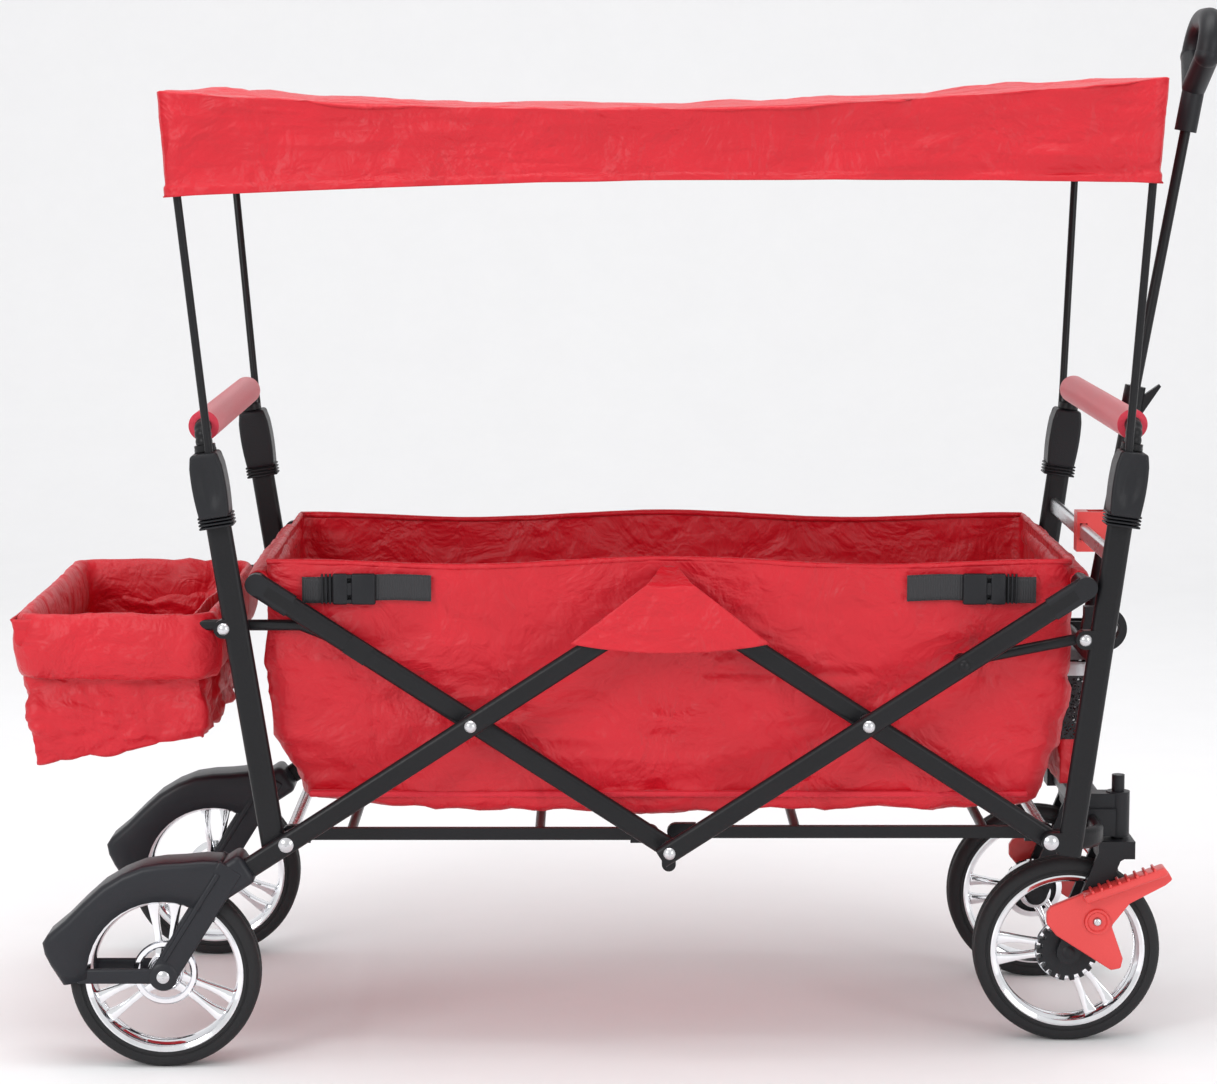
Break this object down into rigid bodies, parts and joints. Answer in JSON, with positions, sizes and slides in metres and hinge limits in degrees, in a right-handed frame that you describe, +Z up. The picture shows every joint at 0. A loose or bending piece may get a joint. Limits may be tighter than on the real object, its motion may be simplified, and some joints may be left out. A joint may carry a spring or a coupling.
{
  "type": "folding pull wagon",
  "caption": "Folding four-wheel pull wagon with a fabric tub, sun canopy, rear bag, push bars at both ends and a telescopic pull handle.",
  "frame": {"origin": "on the ground under the middle of the object's box", "axes": "+X forward to the pull handle, +Y to the far side, +Z up"},
  "size_m": [1.2219, 0.581, 1.0514],
  "materials": {
    "frame_black": "satin powder coat",
    "black_plastic": "moulded satin",
    "rivet_steel": "plated",
    "bright_chrome": "polished",
    "silver_bar": "satin",
    "tyre_black": "soft rubber",
    "red_fabric": "coated plain weave",
    "black_webbing": "ribbed webbing",
    "red_foam": "soft foam",
    "red_plastic": "moulded"
  },
  "bodies": {
    "rear_axle": {"rear_axle_bolts": "rivet_steel"},
    "rear_legs": {"rear_leg_tubes": "frame_black", "rear_forks": "black_plastic", "rear_pivot_pins": "rivet_steel"},
    "basket": {"apex_brackets": "black_plastic", "basket_fabric": "red_fabric", "floor_mat": "red_fabric", "side_flaps": "red_fabric", "side_straps": "black_webbing", "strap_buckles": "black_plastic", "bottle_pockets": "red_fabric"},
    "front_legs": {"front_leg_tube": "frame_black", "caster_brackets": "black_plastic", "front_pivot_pins": "rivet_steel"},
    "rear_arms": {"rear_arm_tubes": "frame_black", "rear_top_rail": "frame_black", "rear_rail_ends": "black_plastic", "arm_rivets": "rivet_steel"},
    "front_arms": {"front_arm_tubes": "frame_black", "front_top_rail": "frame_black", "front_rail_ends": "black_plastic"},
    "rear_posts": {"rear_post_tubes": "frame_black", "rear_post_clamps": "black_plastic", "rear_post_rivets": "rivet_steel"},
    "front_posts": {"front_post_tubes": "frame_black", "front_post_clamps": "black_plastic", "front_post_rivets": "rivet_steel", "handle_crossbar": "silver_bar", "pivot_crossbar": "frame_black", "handle_clip": "red_plastic", "front_loop": "black_plastic"},
    "rear_struts": {"bag_frame": "frame_black", "rear_bag": "red_fabric"},
    "front_struts": {"front_struts": "frame_black"},
    "rear_floor": {"rear_floor_frame": "frame_black"},
    "front_floor": {"front_floor_frame": "frame_black"},
    "rear_push": {"rear_push_bar": "frame_black", "rear_grip": "red_foam"},
    "front_push": {"front_push_bar": "frame_black", "front_grip": "red_foam"},
    "rear_wheel_near": {"rear_tyre_near": "tyre_black", "rear_rim_near": "bright_chrome"},
    "rear_wheel_far": {"rear_tyre_far": "tyre_black", "rear_rim_far": "bright_chrome"},
    "front_wheel_near": {"front_tyre_near": "tyre_black", "front_rim_near": "bright_chrome", "brake_ring_near": "black_plastic"},
    "front_wheel_far": {"front_tyre_far": "tyre_black", "front_rim_far": "bright_chrome", "brake_ring_far": "black_plastic"},
    "caster_near": {"caster_fork_near": "black_plastic"},
    "caster_far": {"caster_fork_far": "black_plastic"},
    "pedal_near": {"brake_pedal_near": "red_plastic"},
    "pedal_far": {"brake_pedal_far": "red_plastic"},
    "handle_lower": {"handle_tube": "frame_black"},
    "handle_upper": {"handle_rod": "frame_black", "handle_grip": "black_plastic"},
    "canopy": {"canopy_fabric": "red_fabric"},
    "rear_hoop": {"rear_hoop": "frame_black"},
    "front_hoop": {"front_hoop": "frame_black"}
  },
  "joints": [
    {"name": "fold", "type": "hinge", "parent": "rear_axle", "child": "rear_legs", "pos_m": [-0.45995, 0, 0.095], "axis": [0, -1, 0], "range_deg": [0, 46], "deforming": ["basket_fabric", "floor_mat", "side_flaps", "side_straps", "strap_buckles", "bottle_pockets", "rear_bag", "canopy_fabric"]},
    {"name": "basket_hang", "type": "hinge", "parent": "rear_legs", "child": "basket", "pos_m": [0.04143, 0, 0.47236], "axis": [0, 1, 0], "range_deg": [0, 46.1]},
    {"name": "front_leg_fold", "type": "hinge", "parent": "basket", "child": "front_legs", "pos_m": [0.04143, 0, 0.47236], "axis": [0, 1, 0], "range_deg": [0, 46.1]},
    {"name": "rear_arm_fold", "type": "hinge", "parent": "rear_legs", "child": "rear_arms", "pos_m": [-0.15481, 0, 0.34491], "axis": [0, 1, 0], "range_deg": [0, 92.1]},
    {"name": "front_arm_fold", "type": "hinge", "parent": "front_legs", "child": "front_arms", "pos_m": [0.23768, 0, 0.34491], "axis": [0, -1, 0], "range_deg": [0, 92.1]},
    {"name": "rear_post_fold", "type": "hinge", "parent": "rear_legs", "child": "rear_posts", "pos_m": [-0.33764, 0, 0.22618], "axis": [0, 1, 0], "range_deg": [0, 53.5]},
    {"name": "front_post_fold", "type": "hinge", "parent": "front_legs", "child": "front_posts", "pos_m": [0.42051, 0, 0.22618], "axis": [0, -1, 0], "range_deg": [0, 51.1]},
    {"name": "rear_strut_fold", "type": "hinge", "parent": "rear_posts", "child": "rear_struts", "pos_m": [-0.39814, 0, 0.44018], "axis": [0, -1, 0], "range_deg": [0, 86]},
    {"name": "front_strut_fold", "type": "hinge", "parent": "front_posts", "child": "front_struts", "pos_m": [0.45116, 0, 0.42918], "axis": [0, 1, 0], "range_deg": [0, 90.5]},
    {"name": "rear_floor_fold", "type": "hinge", "parent": "rear_legs", "child": "rear_floor", "pos_m": [-0.33764, 0, 0.22618], "axis": [0, -1, 0], "range_deg": [0, 44.1]},
    {"name": "front_floor_fold", "type": "hinge", "parent": "front_legs", "child": "front_floor", "pos_m": [0.42051, 0, 0.22618], "axis": [0, 1, 0], "range_deg": [0, 44.1]},
    {"name": "rear_wheel_spin_near", "type": "hinge", "parent": "rear_axle", "child": "rear_wheel_near", "pos_m": [-0.45995, -0.232, 0.095], "axis": [0, 1, 0], "continuous": true},
    {"name": "rear_wheel_spin_far", "type": "hinge", "parent": "rear_axle", "child": "rear_wheel_far", "pos_m": [-0.45995, 0.232, 0.095], "axis": [0, 1, 0], "continuous": true},
    {"name": "caster_swivel_near", "type": "hinge", "parent": "front_legs", "child": "caster_near", "pos_m": [0.50151, -0.1325, 0.212], "axis": [0, 0, 1], "continuous": true},
    {"name": "front_wheel_spin_near", "type": "hinge", "parent": "caster_near", "child": "front_wheel_near", "pos_m": [0.45051, -0.1325, 0.095], "axis": [0, 1, 0], "continuous": true},
    {"name": "brake_near", "type": "hinge", "parent": "caster_near", "child": "pedal_near", "pos_m": [0.47551, -0.1325, 0.133], "axis": [0, 1, 0], "range_deg": [0, 25]},
    {"name": "caster_swivel_far", "type": "hinge", "parent": "front_legs", "child": "caster_far", "pos_m": [0.50151, 0.1325, 0.212], "axis": [0, 0, 1], "continuous": true},
    {"name": "front_wheel_spin_far", "type": "hinge", "parent": "caster_far", "child": "front_wheel_far", "pos_m": [0.45051, 0.1325, 0.095], "axis": [0, 1, 0], "continuous": true},
    {"name": "brake_far", "type": "hinge", "parent": "caster_far", "child": "pedal_far", "pos_m": [0.47551, 0.1325, 0.133], "axis": [0, 1, 0], "range_deg": [0, 25]},
    {"name": "handle_swing", "type": "hinge", "parent": "front_posts", "child": "handle_lower", "pos_m": [0.48672, 0, 0.40518], "axis": [0, 1, 0], "range_deg": [0, 75]},
    {"name": "handle_slide", "type": "slide", "parent": "handle_lower", "child": "handle_upper", "axis": [0.1736, 0, 0.9848], "range_m": [-0.2, 0]},
    {"name": "rear_push_slide", "type": "slide", "parent": "rear_posts", "child": "rear_push", "axis": [-0.1564, 0, 0.9877], "range_m": [0, 0.1]},
    {"name": "front_push_slide", "type": "slide", "parent": "front_posts", "child": "front_push", "axis": [0.134, 0, 0.991], "range_m": [0, 0.1]},
    {"name": "canopy_lift", "type": "slide", "parent": "rear_posts", "child": "rear_hoop", "axis": [-0.0976, 0, 0.9952], "range_m": [0, 0.02], "deforming": ["canopy_fabric"]},
    {"name": "front_rod_lift", "type": "slide", "parent": "front_posts", "child": "front_hoop", "axis": [0.0541, 0, 0.9985], "range_m": [0, 0.021]},
    {"name": "canopy_level", "type": "hinge", "parent": "rear_hoop", "child": "canopy", "pos_m": [-0.44204, 0, 0.95968], "axis": [0, -1, 0], "range_deg": [0, 9.4]}
  ],
  "couplings": [
    {"joint": "basket_hang", "follows": "fold", "ratio": 1},
    {"joint": "front_leg_fold", "follows": "fold", "ratio": 1},
    {"joint": "rear_arm_fold", "follows": "fold", "ratio": 2},
    {"joint": "front_arm_fold", "follows": "fold", "ratio": 2},
    {"joint": "rear_post_fold", "follows": "fold", "ratio": 1.1604},
    {"joint": "front_post_fold", "follows": "fold", "ratio": 1.1074},
    {"joint": "rear_strut_fold", "follows": "fold", "ratio": 1.8661},
    {"joint": "front_strut_fold", "follows": "fold", "ratio": 1.9633},
    {"joint": "rear_floor_fold", "follows": "fold", "ratio": 0.95652},
    {"joint": "front_floor_fold", "follows": "fold", "ratio": 0.95652},
    {"joint": "front_rod_lift", "follows": "canopy_lift", "ratio": 1},
    {"joint": "canopy_level", "follows": "fold", "ratio": 0.2}
  ]
}
